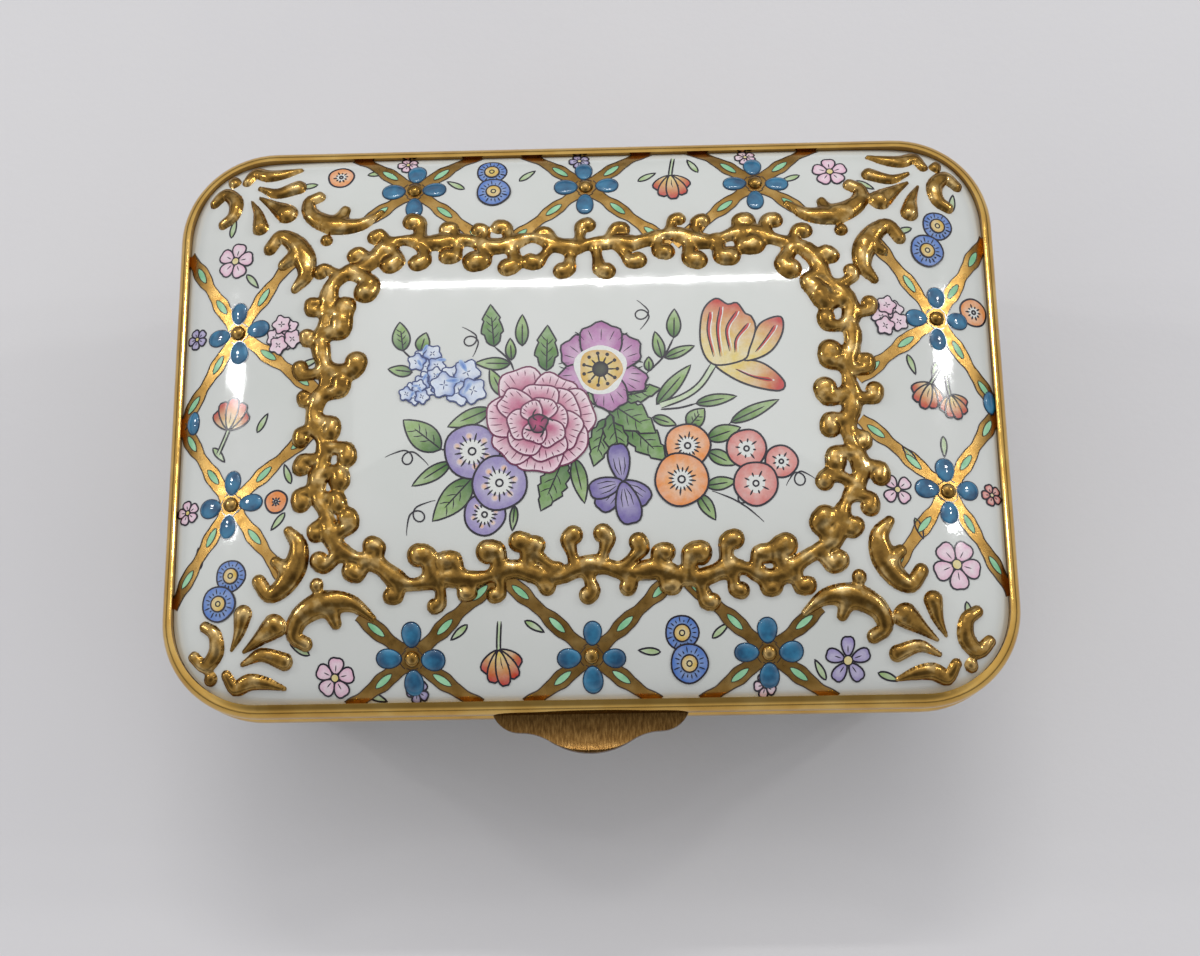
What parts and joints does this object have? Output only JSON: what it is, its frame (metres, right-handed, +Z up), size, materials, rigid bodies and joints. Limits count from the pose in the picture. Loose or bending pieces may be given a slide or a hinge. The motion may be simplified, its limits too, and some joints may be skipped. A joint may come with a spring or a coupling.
{
  "type": "pill box",
  "caption": "Oblong hinged pill box of enamelled copper with gilt brass rims, a domed floral lid and a bow-shaped thumb piece.",
  "frame": {"origin": "centre of the flat underside, where the box rests", "axes": "+X along the box's long side to the right, +Y to the back where the hinge is, +Z up through the lid"},
  "size_m": [0.064, 0.0487, 0.0255],
  "materials": {
    "white_enamel": "glossy fired enamel, painted",
    "inner_enamel": "glossy plain counter-enamel",
    "copper": "annealed sheet copper, hidden",
    "gilt_brass": "polished gilt brass",
    "raised_gilt": "raised paste, burnished gilding",
    "blue_enamel": "glossy raised enamel drops",
    "pin_brass": "drawn wire"
  },
  "bodies": {
    "base": {"base_enamel_outer": "white_enamel", "base_copper": "copper", "base_enamel_inner": "inner_enamel", "base_bezel": "gilt_brass", "base_collar": "gilt_brass", "catch_bead": "gilt_brass", "base_hinge_knuckles": "gilt_brass", "hinge_pin": "pin_brass"},
    "lid": {"lid_enamel_outer": "white_enamel", "lid_copper": "copper", "lid_enamel_inner": "inner_enamel", "lid_bezel": "gilt_brass", "thumb_piece": "gilt_brass", "lid_hinge_knuckles": "gilt_brass", "gilt_frame": "raised_gilt", "gilt_beads": "raised_gilt", "gilt_corner_drops": "raised_gilt", "blue_petals": "blue_enamel"}
  },
  "joints": [
    {"name": "lid_hinge", "type": "hinge", "parent": "base", "child": "lid", "pos_m": [0, 0.0224, 0.0184], "axis": [-1, 0, 0], "range_deg": [0, 100]}
  ]
}
